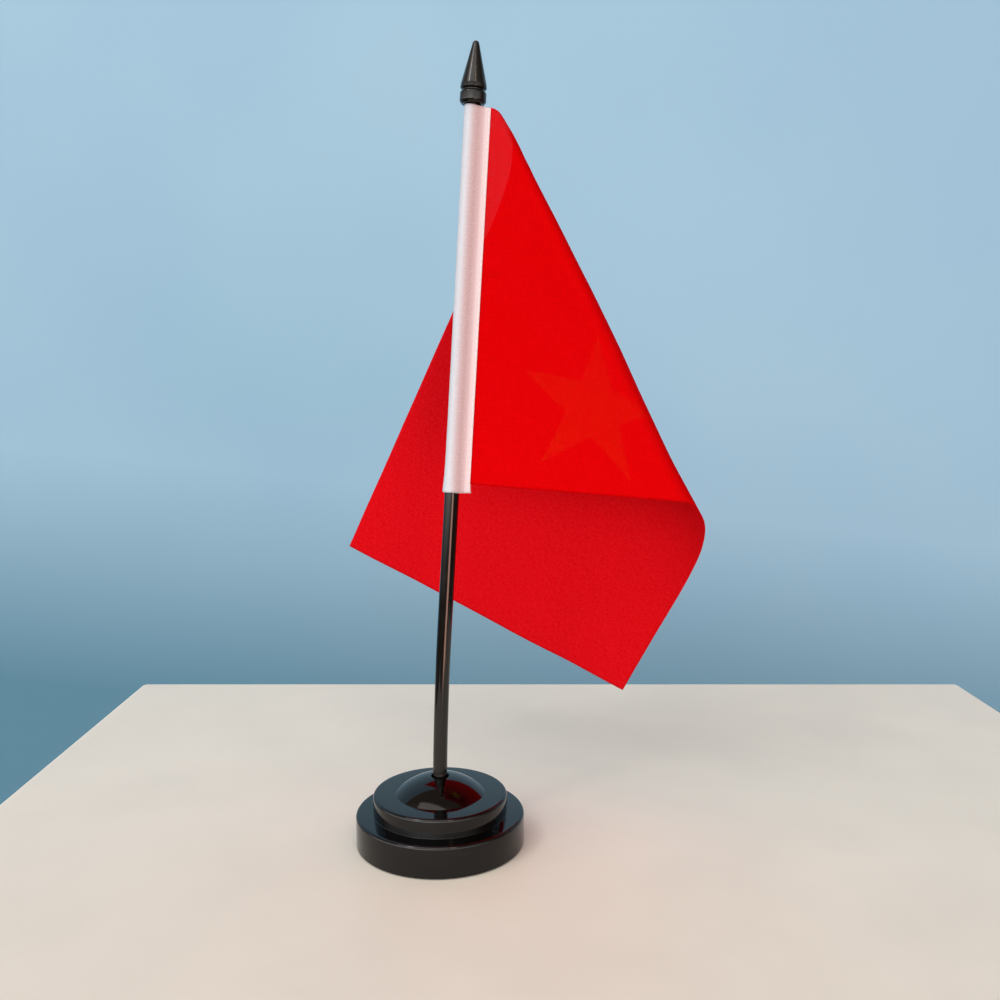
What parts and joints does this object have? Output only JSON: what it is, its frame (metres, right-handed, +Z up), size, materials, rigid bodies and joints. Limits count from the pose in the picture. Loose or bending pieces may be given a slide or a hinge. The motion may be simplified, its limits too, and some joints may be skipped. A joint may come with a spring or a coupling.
{
  "type": "desk flag stand",
  "caption": "Table-top flag on a leaning black pole in a round weighted two-tier base, with a push-on spear finial and a folded cloth flag on a white sleeve.",
  "frame": {"origin": "centre of the base's underside, on the surface that it stands on", "axes": "+Z up; the pole leans and the flag hangs towards +X; the flag's fold lies behind the pole, towards +Y"},
  "size_m": [0.1452, 0.0968, 0.2972],
  "materials": {
    "base_plastic": "polished black, clear reflections",
    "weight_iron": "as cast",
    "pad_foam": "matt foam",
    "pole_plastic": "satin black",
    "finial_plastic": "satin black",
    "sleeve_cloth": "white woven tape",
    "flag_cloth": "red printed polyester",
    "seam_thread": "sewing thread"
  },
  "bodies": {
    "base": {"base_shell": "base_plastic", "base_weight": "weight_iron", "base_pad": "pad_foam"},
    "pole": {"pole": "pole_plastic"},
    "flag": {"flag_sleeve": "sleeve_cloth", "flag_cloth": "flag_cloth", "seam_thread": "seam_thread"},
    "finial": {"finial": "finial_plastic"}
  },
  "joints": [
    {"name": "pole_lift", "type": "slide", "parent": "base", "child": "pole", "axis": [0.0155, 0, 0.9999], "range_m": [0, 0.03]},
    {"name": "flag_turn", "type": "hinge", "parent": "pole", "child": "flag", "pos_m": [0, 0, 0.0483], "axis": [0.0586, 0, 0.9983], "continuous": true},
    {"name": "finial_pull", "type": "slide", "parent": "pole", "child": "finial", "axis": [0.0586, 0, 0.9983], "range_m": [0, 0.015]}
  ]
}
